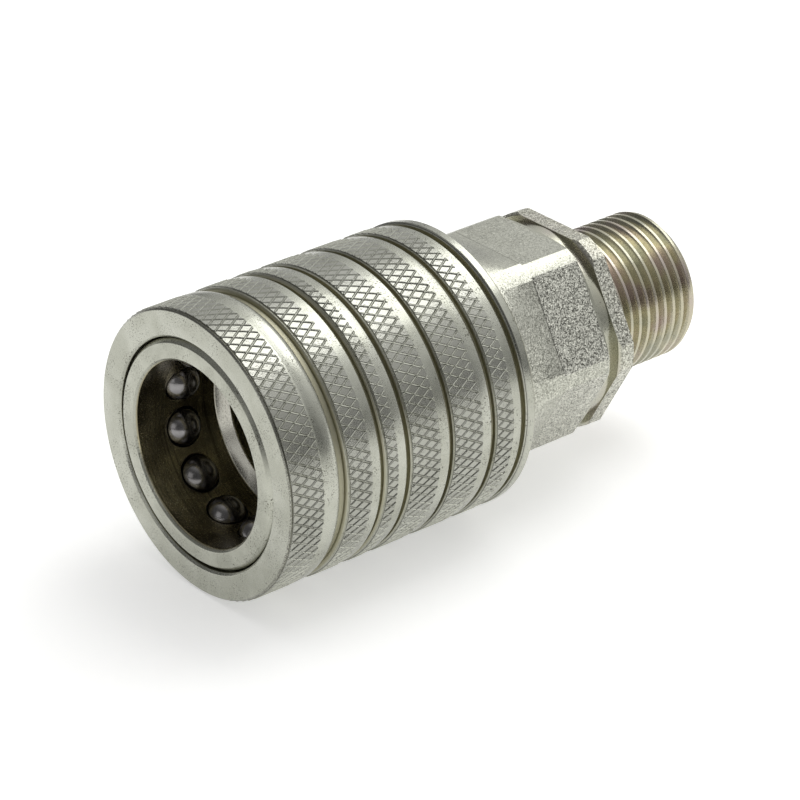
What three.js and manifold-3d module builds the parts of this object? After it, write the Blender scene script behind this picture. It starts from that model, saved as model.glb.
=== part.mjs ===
// Ball-lock quick disconnect coupler, female half, DN 12 pattern.
// Millimetres, +Z up. The axis lies along X and the mouth faces -X. The origin is on the axis,
// halfway between the mouth and the end of the male thread. Stations are measured from the mouth.
import * as THREE from 'three';
import { mergeVertices } from 'three/addons/utils/BufferGeometryUtils.js';
import Module from 'manifold-3d';

const wasm = await Module();
wasm.setup();

// ---- driving dimensions ----
const overallLength = 76;
const sleeveLength = 39.4;
const plugBoreRadius = 12.1;     // the plug's collar runs in this bore
const sealBoreRadius = 10.3;     // the plug's nose runs in this bore
const cageWall = 2.9;            // from the plug bore out to the bar
const cageRelief = 0.05;         // the cage is turned this much under the bar
const sleeveWall = 2.1;          // from the spring chamber out to the knurl tops
const acrossFlats = 27;
const threadRadius = 9.9;        // crest of M20 x 1.5
const sides = 36;                // facets round every turned piece

// ---- clearances ----
const seatGap = 0.3;             // between two pieces that rest on each other
const cutGap = 0.1;              // between a ring and the sides of its groove
const runningGap = 0.25;         // radial, sleeve lip over cage
const guideGap = 0.3;            // radial, rings over the bar and stem in its guide
const boreGap = 0.2;             // radial, rings inside the sleeve
const wireGap = 0.45;            // radial, spring over the cage
const sealGap = 0.15;            // radial, seal to the floor of its groove

// ---- locking balls ----
const ballCount = 12;
const ballRadius = 2.5;
const ballStation = 7.25;
const ballProud = 0.2;           // a locked ball stands this far out of the cage
const ballTravel = 1.8;
const ballHoleGap = 0.15;
const ballLandGap = 0.3;         // radial, ball to the land or to the recess
const sleeveTravel = 3.4;

// ---- sleeve ----
const frontChamfer = 0.5;
const rearChamfer = 0.6;
const lipChamfer = 0.3;
const recessConeAngle = 30;      // degrees to the axis
const landLead = 0.2;            // the land starts this far behind the balls' centres
const landLength = 3.15;
const landDepth = 0.2;           // smooth land below the knurl tops
const landSlope = 0.1;           // axial length of the step down to a land
const grooveDepth = 0.85;
const edgeDrop = 0.375;          // height of the chamfer behind a groove
const collarLength = 1.7;         // shortest smooth collar at the rear
// knurl, smooth land, groove and chamfered edge widths of each grip band, from the front
const gripBands = [
  { knurl: 4.65, land: 2.7, groove: 0.9, edge: 0.55 },
  { knurl: 3.35, land: 1.35, groove: 0.75, edge: 0.5 },
  { knurl: 1.5, land: 1.4, groove: 0.7, edge: 0.35 },
  { knurl: 4.3, land: 1.5, groove: 0.7, edge: 0.3 },
  { knurl: 4.4, land: 1.45, groove: 0.75, edge: 0.3 },
  { knurl: 2.55, land: 1.3, groove: 0.85, edge: 0.3 },
];

// ---- sleeve return ----
const flangeFront = 29.2;        // spring seat on the cage
const flangeWidth = 1.8;
const springRoomDepth = 0.6;     // the cage is turned down under the spring
const washerWidth = 1;
const sleeveWire = 1.6;
const sleeveCoils = 6.5;
const snapRingWidth = 1;
const snapRingHeight = 1.5;
const snapGrooveDepth = 0.6;
const snapRingOpening = 26;      // degrees
const snapRim = 0.45;            // sleeve left behind the snap ring groove
const snapRingSegments = 18;

// ---- cage ----
const mouthChamfer = 0.4;
const cageChamfer = 0.35;
const plugBoreDepth = 12.4;
const leadInLength = 1;
const sealGrooveFront = 14.5;
const sealGrooveDepth = 2.2;
const noseSealSection = 1.1;
const backupWidth = 1.1;
const sealRoom = 0.3;            // free width in front of the nose seal
const seatStation = 19.4;
const seatStep = 2.1;            // radial, from the seal bore in to the seat
const seatLand = 1.4;            // straight bore in front of the seat cone
const seatCone = 1.4;            // 45 degree cone, axial length
const flowRing = 1;              // radial, from the seat cone out to the valve chamber
const spigotWall = 2.1;          // adapter's front thread, over its bore
const spigotLength = 8.5;
const cageRear = 33.6;
const spigotRecess = 0.4;        // room in front of the spigot

// ---- valve ----
const noseGap = 2.6;             // radial flow gap round the poppet's nose
const noseLength = 4.5;          // in front of the seat
const noseChamfer = 0.4;
const poppetSealSection = 0.7;
const poppetSealSetback = 1.3;   // behind the front of the seat cone
const poppetSealInset = 1.15;    // under the seat cone at that station
const poppetRimWidth = 1.5;
const springHubRadius = 4.6;
const springHubLength = 1.4;
const stemRadius = 2.5;
const stemOverhang = 1;          // behind the guide's shoulder
const poppetWire = 1.3;
const hubGap = 0.95;             // radial, spring over its hub
const poppetCoils = 5;
const guideWidth = 2.6;
const guideHubRadius = 4.8;
const guideRimWidth = 1.3;
const guideSpokes = 3;
const spokeWidth = 3;
const guideSegments = 7;

// ---- adapter ----
const boreStep = 0.4;            // the adapter's bore is this much under the valve chamber
const guideShoulder = 41;
const flowRadius = 5;
const tubeRadius = 6;            // 12 mm tube
const tubeDepth = 7;
const coneMouthRadius = 7.15;    // 24 degree cone
const coneHalfAngle = 12;        // degrees
const rampLength = 5.5;          // slope from the bar down to each flat
const flatFront = 47.5;
const flatRear = 55.3;
const neckFront = 55.9;          // a cone runs down to the neck from the rear of the flats
const neckRadius = 13.4;
const collarFront = 57.5;
const collarRear = 59.8;
const collarFaceRadius = 14.3;   // front face of the thin hex collar
const collarRadius = 14.7;       // across its corners
const collarCone = 0.4;          // axial length of the cone between the two
const reliefRadius = 8.95;       // thread run-out
const reliefLength = 1.3;
const threadChamfer = 0.45;
const adapterSealSection = 0.75;
const adapterSealSetback = 2.6;  // behind the front of the spigot
const spigotChamfer = 0.5;

// ---- materials ----
const zincSteel = { color: 0xb2b4aa, roughness: 0.42, metalness: 1 };
const blastedSteel = { color: 0xa5a69c, roughness: 0.6, metalness: 1 };
const boreSteel = { color: 0x5a584c, roughness: 0.35, metalness: 1 };
const ballSteel = { color: 0x8c8c8a, roughness: 0.12, metalness: 1 };
const springSteel = { color: 0x77766f, roughness: 0.4, metalness: 1 };
const bronze = { color: 0x9a7a4c, roughness: 0.45, metalness: 1 };
const nitrile = { color: 0x1c1c1d, roughness: 0.7, metalness: 0 };
const ptfe = { color: 0xe6e4dc, roughness: 0.55, metalness: 0 };

// ---- stations and radii that follow from the dimensions above ----
const barRadius = plugBoreRadius + cageWall;
const cageRadius = barRadius - cageRelief;
const lipRadius = cageRadius + runningGap;
const ballOrbit = cageRadius + ballProud - ballRadius;          // centre of a locked ball
const landRadius = ballOrbit + ballRadius + ballLandGap;
const recessRadius = landRadius + ballTravel;
const recessFront = ballStation - ballRadius - ballHoleGap - sleeveTravel;
const landFront = ballStation + landLead;
const landRear = landFront + landLength;
const recessRear = landFront - ballTravel / Math.tan(recessConeAngle * Math.PI / 180);
const springRoomRadius = barRadius - springRoomDepth;
const springRoomFront = landRear - seatGap;
const springOrbit = springRoomRadius + wireGap + sleeveWire / 2;
const chamberRadius = springOrbit + sleeveWire / 2 + wireGap;   // spring chamber in the sleeve
const sleeveRadius = chamberRadius + sleeveWall;
const flangeRadius = chamberRadius - seatGap;
const washerFront = landRear + seatGap;
const springFront = washerFront + washerWidth + seatGap;
const flangeRear = flangeFront + flangeWidth;
const snapGrooveRear = sleeveLength - snapRim;
const snapRingFront = snapGrooveRear - cutGap - snapRingWidth;
const snapGrooveFront = snapRingFront - cutGap;
const sealGrooveRadius = sealBoreRadius + sealGrooveDepth;
const noseSealOrbit = sealGrooveRadius - sealGap - noseSealSection;
const noseSealStation = sealGrooveFront + sealRoom + noseSealSection;
const backupFront = noseSealStation + noseSealSection + cutGap;
const sealGrooveRear = backupFront + backupWidth + cutGap;
const seatConeFront = seatStation + seatLand;
const seatConeRear = seatConeFront + seatCone;
const seatRadius = sealBoreRadius - seatStep;
const chamberBore = seatRadius + seatCone + flowRing;
const adapterBore = chamberBore - boreStep;
const spigotRadius = adapterBore + spigotWall;
const spigotBore = spigotRadius + seatGap;
const adapterFace = cageRear + seatGap;
const spigotFront = adapterFace - spigotLength;
const noseRadius = seatRadius - noseGap;
const poppetSealStation = seatConeFront + poppetSealSetback;
const poppetSealOrbit = seatRadius + poppetSealSetback - poppetSealInset;
const poppetRim = seatRadius + seatCone;
const poppetRimFront = poppetSealStation + poppetSealSection + cutGap;
const poppetBack = poppetRimFront + poppetRimWidth;
const poppetSpringOrbit = springHubRadius + hubGap + poppetWire / 2;
const guideFront = guideShoulder - seatGap - guideWidth;
const adapterSealStation = spigotFront + adapterSealSetback;
const adapterSealOrbit = spigotBore - cutGap - adapterSealSection;

const halfLength = overallLength / 2;
const stationX = (station) => station - halfLength;
const radians = (degrees) => degrees * Math.PI / 180;
const facetTurn = Math.PI / sides;   // puts a facet, not an edge, at the top and the bottom

// ---- shared geometry ----

// A ring or a shaft turned from an outline of [station, radius] points that closes on itself.
function turned(outline) {
  const area = outline.reduce((sum, [s, r], i) => {
    const [s2, r2] = outline[(i + 1) % outline.length];
    return sum + s * r2 - s2 * r;
  }, 0);
  const ordered = area > 0 ? [...outline].reverse() : [...outline];
  const closed = [...ordered, ordered[0]];
  const points = closed.map(([s, r]) => new THREE.Vector2(r, stationX(s)));
  return new THREE.LatheGeometry(points, sides, facetTurn).rotateZ(-Math.PI / 2);
}

// The outline of a round section, for seals.
function roundSection(station, orbit, radius) {
  const corners = 6;
  return Array.from({ length: corners }, (_, i) => {
    const angle = (i + 0.5) * 2 * Math.PI / corners;
    return [station + radius * Math.cos(angle), orbit + radius * Math.sin(angle)];
  });
}

// A box outline from one station and radius to another.
const plainSection = (front, rear, inner, outer) =>
  [[front, inner], [front, outer], [rear, outer], [rear, inner]];

function toSolid(geometry) {
  const bare = geometry.clone();
  bare.deleteAttribute('normal');
  bare.deleteAttribute('uv');
  const merged = mergeVertices(bare, 1e-4);
  const index = merged.index.array;
  const kept = [];
  for (let i = 0; i < index.length; i += 3) {
    const [a, b, c] = index.slice(i, i + 3);
    if (a !== b && b !== c && c !== a) kept.push(a, b, c);
  }
  const mesh = new wasm.Mesh({
    numProp: 3,
    vertProperties: merged.attributes.position.array,
    triVerts: Uint32Array.from(kept),
  });
  return new wasm.Manifold(mesh);
}

function toGeometry(solid) {
  const { vertProperties, triVerts } = solid.getMesh();
  const geometry = new THREE.BufferGeometry();
  geometry.setAttribute('position', new THREE.BufferAttribute(vertProperties, 3));
  geometry.setIndex(new THREE.BufferAttribute(triVerts, 1));
  geometry.computeVertexNormals();
  return geometry;
}

// A flat shape, drawn looking along the axis and pushed along it.
function plate(shape, front, width, curveSegments = 16) {
  const settings = { depth: width, bevelEnabled: false, curveSegments };
  return new THREE.ExtrudeGeometry(shape, settings)
    .rotateY(Math.PI / 2)
    .translate(stationX(front), 0, 0);
}

// A compression spring with closed end coils. The first and last coil keep a small gap.
class SpringCurve extends THREE.Curve {
  constructor(front, rear, radius, coils, wire) {
    super();
    this.radius = radius;
    this.coils = coils;
    this.start = stationX(front) + wire / 2;
    this.length = rear - front - wire;
    this.endRise = wire + cutGap;
  }

  getPoint(t) {
    const turn = t * this.coils;
    const middleRise = (this.length - 2 * this.endRise) / (this.coils - 2);
    const firstPart = Math.min(turn, 1) * this.endRise;
    const middlePart = Math.min(Math.max(turn - 1, 0), this.coils - 2) * middleRise;
    const lastPart = Math.max(turn - this.coils + 1, 0) * this.endRise;
    const angle = turn * 2 * Math.PI;
    return new THREE.Vector3(
      this.start + firstPart + middlePart + lastPart,
      this.radius * Math.cos(angle),
      this.radius * Math.sin(angle),
    );
  }
}

function spring(front, rear, radius, coils, wire) {
  const corners = 6;
  const stepsPerCoil = 14;
  const section = new THREE.Shape(Array.from({ length: corners }, (_, i) => {
    const angle = i * 2 * Math.PI / corners;
    return new THREE.Vector2(wire / 2 * Math.cos(angle), wire / 2 * Math.sin(angle));
  }));
  const extrudePath = new SpringCurve(front, rear, radius, coils, wire);
  return new THREE.ExtrudeGeometry(section, { steps: Math.round(stepsPerCoil * coils), extrudePath });
}

const group = new THREE.Group();

function addPiece(name, geometry, look) {
  const mesh = new THREE.Mesh(geometry, new THREE.MeshStandardMaterial(look));
  mesh.name = name;
  group.add(mesh);
  return mesh;
}

// ---- sleeve ----

// Outside of the sleeve from front to rear: grip bands, each with a smooth land and a groove behind
// it. A band that would run into the rear collar is left out.
function gripOutline() {
  const top = sleeveRadius;
  const land = sleeveRadius - landDepth;
  const floor = sleeveRadius - grooveDepth;
  const shoulder = top - edgeDrop;
  const outline = [[0, top - frontChamfer], [frontChamfer, top]];
  let station = frontChamfer;
  for (const band of gripBands) {
    const knurlEnd = station + band.knurl;
    const grooveFront = knurlEnd + band.land;
    const grooveRear = grooveFront + band.groove;
    if (grooveRear > sleeveLength - collarLength) break;
    outline.push([knurlEnd, top], [knurlEnd + landSlope, land]);
    outline.push([grooveFront, land], [grooveFront, floor]);
    outline.push([grooveRear, floor], [grooveRear, shoulder]);
    station = grooveRear + band.edge;
    outline.push([station, top]);
  }
  outline.push([sleeveLength - rearChamfer, top], [sleeveLength, top - rearChamfer]);
  return outline;
}

function outerSleeve() {
  const inside = [
    [sleeveLength, chamberRadius],
    [snapGrooveRear, chamberRadius],
    [snapGrooveRear, chamberRadius + snapGrooveDepth],
    [snapGrooveFront, chamberRadius + snapGrooveDepth],
    [snapGrooveFront, chamberRadius],
    [landRear, chamberRadius],
    [landRear, landRadius],
    [landFront, landRadius],
    [recessRear, recessRadius],
    [recessFront, recessRadius],
    [recessFront, lipRadius],
    [lipChamfer, lipRadius],
    [0, lipRadius + lipChamfer],
  ];
  return turned([...gripOutline(), ...inside]);
}

// C-shaped ring that snaps into the groove at the rear of the sleeve.
function sleeveSnapRing() {
  const outer = chamberRadius + snapGrooveDepth - cutGap;
  const inner = outer - snapRingHeight;
  const half = radians(snapRingOpening / 2);
  const ring = new THREE.Shape();
  ring.absarc(0, 0, outer, half, 2 * Math.PI - half, false);
  ring.absarc(0, 0, inner, 2 * Math.PI - half, half, true);
  return plate(ring, snapRingFront, snapRingWidth, snapRingSegments);
}

// ---- cage ----

function ballHole(angle) {
  const radius = ballRadius + ballHoleGap;
  const length = 2 * (barRadius - plugBoreRadius);
  const hole = new THREE.CylinderGeometry(radius, radius, length, 12);
  return hole
    .rotateX(Math.PI / 2)
    .translate(stationX(ballStation), 0, (plugBoreRadius + barRadius) / 2)
    .rotateX(angle);
}

const ballAngle = (i) => (i + 0.5) * 2 * Math.PI / ballCount;

function ballCage() {
  const rearStart = spigotFront - spigotRecess;
  const outline = [
    [0, plugBoreRadius + mouthChamfer],
    [0, cageRadius - cageChamfer],
    [cageChamfer, cageRadius],
    [springRoomFront, cageRadius],
    [springRoomFront, springRoomRadius],
    [flangeFront, springRoomRadius],
    [flangeFront, flangeRadius],
    [flangeRear, flangeRadius],
    [flangeRear, cageRadius],
    [cageRear, cageRadius],
    [cageRear, spigotBore],
    [rearStart, spigotBore],
    [rearStart, chamberBore],
    [seatConeRear, chamberBore],
    [seatConeRear, seatRadius + seatCone],
    [seatConeFront, seatRadius],
    [seatStation, seatRadius],
    [seatStation, sealBoreRadius],
    [sealGrooveRear, sealBoreRadius],
    [sealGrooveRear, sealGrooveRadius],
    [sealGrooveFront, sealGrooveRadius],
    [sealGrooveFront, sealBoreRadius],
    [plugBoreDepth + leadInLength, sealBoreRadius],
    [plugBoreDepth, plugBoreRadius],
    [mouthChamfer, plugBoreRadius],
  ];
  let solid = toSolid(turned(outline));
  for (let i = 0; i < ballCount; i += 1) {
    solid = solid.subtract(toSolid(ballHole(ballAngle(i))));
  }
  return toGeometry(solid);
}

function lockingBall(angle) {
  return new THREE.SphereGeometry(ballRadius, 12, 8)
    .rotateX(Math.PI / 2)
    .translate(stationX(ballStation), 0, ballOrbit)
    .rotateX(angle);
}

// ---- valve ----

function valvePoppet() {
  const coneOffset = seatConeFront - seatRadius + seatGap * Math.SQRT2;   // station minus radius
  const sealHalf = poppetSealSection + cutGap;
  const sealFloor = poppetSealOrbit - sealHalf;
  const grooveFront = poppetSealStation - sealHalf;
  const noseFront = seatStation - noseLength;
  const stemEnd = guideShoulder + stemOverhang;
  const outline = [
    [noseFront, 0],
    [noseFront, noseRadius - noseChamfer],
    [noseFront + noseChamfer, noseRadius],
    [seatStation, noseRadius],
    [seatConeFront, seatConeFront - coneOffset],
    [grooveFront, grooveFront - coneOffset],
    [grooveFront, sealFloor],
    [poppetRimFront, sealFloor],
    [poppetRimFront, poppetRim],
    [poppetBack, poppetRim],
    [poppetBack, springHubRadius],
    [poppetBack + springHubLength, springHubRadius],
    [poppetBack + springHubLength, stemRadius],
    [stemEnd - noseChamfer, stemRadius],
    [stemEnd, stemRadius - noseChamfer],
    [stemEnd, 0],
  ];
  const points = outline.map(([s, r]) => new THREE.Vector2(r, stationX(s)));
  return new THREE.LatheGeometry(points, sides, facetTurn).rotateZ(-Math.PI / 2);
}

// Spider that carries the poppet's stem and the rear end of its spring.
function poppetGuide() {
  const rim = adapterBore - seatGap;
  const windowOuter = rim - guideRimWidth;
  const disc = new THREE.Shape();
  disc.absarc(0, 0, rim, 0, 2 * Math.PI, false);
  const stemHole = new THREE.Path();
  stemHole.absarc(0, 0, stemRadius + guideGap, 0, 2 * Math.PI, true);
  disc.holes.push(stemHole);
  for (let i = 0; i < guideSpokes; i += 1) {
    const from = i * 2 * Math.PI / guideSpokes;
    const to = from + 2 * Math.PI / guideSpokes;
    const inset = (radius) => Math.asin(spokeWidth / (2 * radius));
    const window = new THREE.Path();
    window.absarc(0, 0, windowOuter, from + inset(windowOuter), to - inset(windowOuter), false);
    window.absarc(0, 0, guideHubRadius, to - inset(guideHubRadius), from + inset(guideHubRadius), true);
    window.closePath();
    disc.holes.push(window);
  }
  return plate(disc, guideFront, guideWidth, guideSegments);
}

// ---- adapter ----

// Wedge that mills one flat: it slopes down from the bar and then runs level to the thread.
function flatCutter(angle) {
  const reach = 2 * barRadius;
  const rear = collarRear + reliefLength / 2;
  const profile = new THREE.Shape([
    new THREE.Vector2(stationX(flatFront - rampLength), barRadius),
    new THREE.Vector2(stationX(flatFront), acrossFlats / 2),
    new THREE.Vector2(stationX(rear), acrossFlats / 2),
    new THREE.Vector2(stationX(rear), reach),
    new THREE.Vector2(stationX(flatFront - rampLength), reach),
  ]);
  return new THREE.ExtrudeGeometry(profile, { depth: 2 * reach, bevelEnabled: false })
    .translate(0, 0, -reach)
    .rotateX(Math.PI / 2 + angle);
}

function hexAdapter() {
  const coneDepth = (coneMouthRadius - tubeRadius) / Math.tan(radians(coneHalfAngle));
  const sealHalf = adapterSealSection + cutGap;
  const sealFloor = adapterSealOrbit - adapterSealSection - cutGap;
  const outline = [
    [spigotFront, adapterBore],
    [spigotFront, spigotRadius - spigotChamfer],
    [spigotFront + spigotChamfer, spigotRadius],
    [adapterSealStation - sealHalf, spigotRadius],
    [adapterSealStation - sealHalf, sealFloor],
    [adapterSealStation + sealHalf, sealFloor],
    [adapterSealStation + sealHalf, spigotRadius],
    [adapterFace, spigotRadius],
    [adapterFace, barRadius],
    [flatRear, barRadius],
    [neckFront, neckRadius],
    [collarFront, neckRadius],
    [collarFront, collarFaceRadius],
    [collarFront + collarCone, collarRadius],
    [collarRear, collarRadius],
    [collarRear, reliefRadius],
    [collarRear + reliefLength, reliefRadius],
    [collarRear + reliefLength + (threadRadius - reliefRadius), threadRadius],
    [overallLength - threadChamfer, threadRadius],
    [overallLength, threadRadius - threadChamfer],
    [overallLength, coneMouthRadius],
    [overallLength - coneDepth, tubeRadius],
    [overallLength - tubeDepth, tubeRadius],
    [overallLength - tubeDepth, flowRadius],
    [guideShoulder, flowRadius],
    [guideShoulder, adapterBore],
  ];
  let solid = toSolid(turned(outline));
  for (let i = 0; i < 6; i += 1) {
    solid = solid.subtract(toSolid(flatCutter(i * Math.PI / 3)));
  }
  return toGeometry(solid);
}

// ---- assembly ----
addPiece('outer_sleeve', outerSleeve(), zincSteel);
addPiece('sleeve_snap_ring', sleeveSnapRing(), springSteel);
addPiece('sleeve_guide_ring', turned(plainSection(
  flangeRear + seatGap, snapRingFront - seatGap, barRadius + guideGap, chamberRadius - boreGap,
)), bronze);
addPiece('spring_thrust_washer', turned(plainSection(
  washerFront, washerFront + washerWidth, springRoomRadius + guideGap, chamberRadius - boreGap,
)), springSteel);
addPiece('sleeve_spring', spring(
  springFront, flangeFront - seatGap, springOrbit, sleeveCoils, sleeveWire,
), springSteel);

addPiece('ball_cage', ballCage(), boreSteel);
for (let i = 0; i < ballCount; i += 1) {
  const number = String(i + 1).padStart(2, '0');
  addPiece(`locking_ball_${number}`, lockingBall(ballAngle(i)), ballSteel);
}
addPiece('nose_o_ring', turned(roundSection(
  noseSealStation, noseSealOrbit, noseSealSection,
)), nitrile);
addPiece('nose_backup_ring', turned(plainSection(
  backupFront, backupFront + backupWidth, sealBoreRadius + cutGap, sealGrooveRadius - cutGap,
)), ptfe);

addPiece('valve_poppet', valvePoppet(), zincSteel);
addPiece('poppet_seal', turned(roundSection(
  poppetSealStation, poppetSealOrbit, poppetSealSection,
)), nitrile);
addPiece('poppet_spring', spring(
  poppetBack + seatGap, guideFront - seatGap, poppetSpringOrbit, poppetCoils, poppetWire,
), springSteel);
addPiece('poppet_guide', poppetGuide(), zincSteel);

addPiece('hex_adapter', hexAdapter(), blastedSteel);
addPiece('adapter_o_ring', turned(roundSection(
  adapterSealStation, adapterSealOrbit, adapterSealSection,
)), nitrile);

export default group;
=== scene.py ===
import math
from functools import partial

import bmesh
import bpy
from mathutils import Matrix, Vector


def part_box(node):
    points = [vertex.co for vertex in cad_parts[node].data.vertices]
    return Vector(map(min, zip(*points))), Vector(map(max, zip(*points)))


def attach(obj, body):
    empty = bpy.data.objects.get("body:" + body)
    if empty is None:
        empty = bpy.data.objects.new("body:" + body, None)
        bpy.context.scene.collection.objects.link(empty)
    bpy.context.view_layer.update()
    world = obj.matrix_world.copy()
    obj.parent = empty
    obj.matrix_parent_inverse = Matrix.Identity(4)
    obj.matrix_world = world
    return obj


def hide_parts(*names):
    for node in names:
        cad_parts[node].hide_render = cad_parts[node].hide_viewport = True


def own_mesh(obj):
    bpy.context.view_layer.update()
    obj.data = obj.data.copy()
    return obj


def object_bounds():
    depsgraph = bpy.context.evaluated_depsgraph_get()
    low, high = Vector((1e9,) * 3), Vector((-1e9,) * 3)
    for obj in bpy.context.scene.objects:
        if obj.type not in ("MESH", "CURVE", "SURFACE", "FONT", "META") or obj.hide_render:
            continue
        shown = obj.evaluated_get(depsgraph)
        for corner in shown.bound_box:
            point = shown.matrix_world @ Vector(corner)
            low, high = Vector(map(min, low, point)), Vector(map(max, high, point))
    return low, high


# Ball-lock quick disconnect coupler. Stations are millimetres back from the mouth, radii are
# millimetres from the axis. The axis is X and the mouth faces -X.
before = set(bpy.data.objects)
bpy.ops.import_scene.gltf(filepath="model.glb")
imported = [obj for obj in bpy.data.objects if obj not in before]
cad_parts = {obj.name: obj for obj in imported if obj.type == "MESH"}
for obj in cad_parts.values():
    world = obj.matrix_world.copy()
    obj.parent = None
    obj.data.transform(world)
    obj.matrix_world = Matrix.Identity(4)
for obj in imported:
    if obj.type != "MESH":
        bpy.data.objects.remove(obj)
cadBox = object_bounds()
print("frame loaded:", len(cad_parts), "nodes")

mm = 0.001
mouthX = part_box("outer_sleeve")[0].x
axis = Vector((1, 0, 0))
origin = Vector((0, 0, 0))


def stationX(station):
    return mouthX + station * mm


# camera and lamps
view = {
    "eye": (-0.2886, -0.3353, 0.2260),
    "aim": (-0.0043, 0.0009, -0.0040),
    "lens": 175.05,
    "sensor": 36,
    "near": 0.01,
}

camera = bpy.data.objects.new("camera", bpy.data.cameras.new("camera"))
camera.data.lens = view["lens"]
camera.data.sensor_width = view["sensor"]
camera.data.clip_start = view["near"]
camera.location = view["eye"]
sight = Vector(view["aim"]) - Vector(view["eye"])
camera.rotation_euler = sight.to_track_quat("-Z", "Y").to_euler()
bpy.context.collection.objects.link(camera)
bpy.context.scene.camera = camera
bpy.context.scene.view_settings.view_transform = "Standard"

# name, place, aim, width, height, power in watts
softboxes = [
    ("topBox", (0.33, 0.04, 0.60), (0, 0, 0), 0.50, 0.44, 1.45),
    ("mouthBox", (-0.62, -0.02, 0.20), (-0.03, 0, 0), 0.34, 0.30, 0.20),
]
for name, place, aim, width, height, power in softboxes:
    lamp = bpy.data.lights.new(name, "AREA")
    lamp.shape = "RECTANGLE"
    lamp.size, lamp.size_y, lamp.energy = width, height, power
    box = bpy.data.objects.new(name, lamp)
    box.location = place
    box.rotation_euler = (Vector(aim) - Vector(place)).to_track_quat("-Z", "Y").to_euler()
    bpy.context.collection.objects.link(box)


# materials
def srgb(code):
    parts = [int(code[i:i + 2], 16) / 255 for i in (1, 3, 5)]
    return [c / 12.92 if c <= 0.04045 else ((c + 0.055) / 1.055) ** 2.4 for c in parts] + [1]


def perMm(size):
    return 1000 / size          # texture scale for a feature this many millimetres wide


def addNode(tree, kind, sockets=(), **settings):
    # sockets go in order, or by name or number; a node as a value stands for its first output
    made = tree.nodes.new("ShaderNode" + kind)
    for name, value in settings.items():
        setattr(made, name, value)
    for name, value in sockets.items() if isinstance(sockets, dict) else enumerate(sockets):
        if isinstance(value, bpy.types.Node):
            value = value.outputs[0]
        if isinstance(value, bpy.types.NodeSocket):
            tree.links.new(value, made.inputs[name])
        else:
            made.inputs[name].default_value = value
    return made


def newMaterial(name):
    made = bpy.data.materials.new(name)
    made.use_nodes = True
    made.node_tree.nodes.clear()
    return made, partial(addNode, made.node_tree)


def finishSurface(node, colour, roughness, bumps, normal=None, **constants):
    # each bump is a height, a strength and a depth in millimetres
    for height, strength, depth in bumps:
        sockets = {"Height": height, "Strength": strength, "Distance": depth * mm}
        if normal:
            sockets["Normal"] = normal
        normal = node("Bump", sockets)
    surface = node("BsdfPrincipled", {"Base Color": colour, "Roughness": roughness,
                                      "Normal": normal, **constants})
    node("OutputMaterial", {"Surface": surface})


def steelFinish(name, look):
    # shared base of the plated and bare steels: tone drifts over a few millimetres, small dark pits
    # in patches, fine turning lines round the axis
    made, node = newMaterial(name)
    place = node("TexCoord").outputs["Object"]
    across = node("VectorMath", [place, (0, 1, 1)], operation="MULTIPLY")
    # turning lines: noise squeezed along X so that it makes rings
    ringPlace = node("Mapping", {"Vector": place, "Scale": (1, 0.012, 0.012)})
    noises = {}
    for key, at, size, detail, rough in (
            ("drift", place, look["driftSize"], 4, 0.55),
            ("blotch", place, look["pitSize"] * 0.9, 2, 0.7), ("patches", place, 3.2, 3, 0.6),
            ("grain", place, look["grainSize"], 2, 0.6),
            ("rings", ringPlace, look["ringSize"], 3, 0.7)):
        noises[key] = node("TexNoise", {"Vector": at, "Scale": perMm(size), "Detail": detail,
                                        "Roughness": rough})
    pits = node("MapRange", [noises["blotch"], look["pitEdge"], look["pitEdge"] + 0.05])
    pitted = node("MapRange", [noises["patches"], 0.42, 0.58])
    spots = node("Math", [pits, pitted], operation="MULTIPLY")
    drift = node("MapRange", [noises["drift"], 0.38, 0.62])
    colour = srgb(look["tone"])
    for share, tone in ((drift, "tone2"), (spots, "pitTone")):
        colour = node("Mix", {0: share, 6: colour, 7: srgb(look[tone])},
                      data_type="RGBA").outputs[2]
    rough = node("MapRange", [noises["grain"], 0.3, 0.7, look["rough"] - look["roughSpread"],
                              look["rough"] + look["roughSpread"]])
    return made, node, {
        "place": place, "x": node("SeparateXYZ", [place]).outputs["X"],
        "radius": node("VectorMath", [across], operation="LENGTH").outputs["Value"],
        "colour": colour, "rough": rough, "spots": spots,
        "grain": noises["grain"], "rings": noises["rings"], "patches": noises["patches"],
    }


# bright zinc plate on a turned and rolled-knurl steel sleeve: pale, a little green-grey, satin,
# with dark pits, and painted shade in the duller grooves (a darker brownish tone), on the knurl's
# cell floors and the ridges' feet
sleeveLook = {
    "tone": "#B9BAAF", "tone2": "#ABACA0", "driftSize": 5, "pitTone": "#55534A", "pitSize": 0.22,
    "pitEdge": 0.585, "grainSize": 0.14, "ringSize": 0.12, "rough": 0.27, "roughSpread": 0.07,
    # painted shade tones for the grooves, the knurl's cell floors and the ridges' feet; a worn tone
    # for the knocked front edge
    "grooveShadeTone": "#A19E87", "cellShadeTone": "#989892", "edgeTone": "#77766F",
    "footShadeTone": "#45453F",
}


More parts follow.
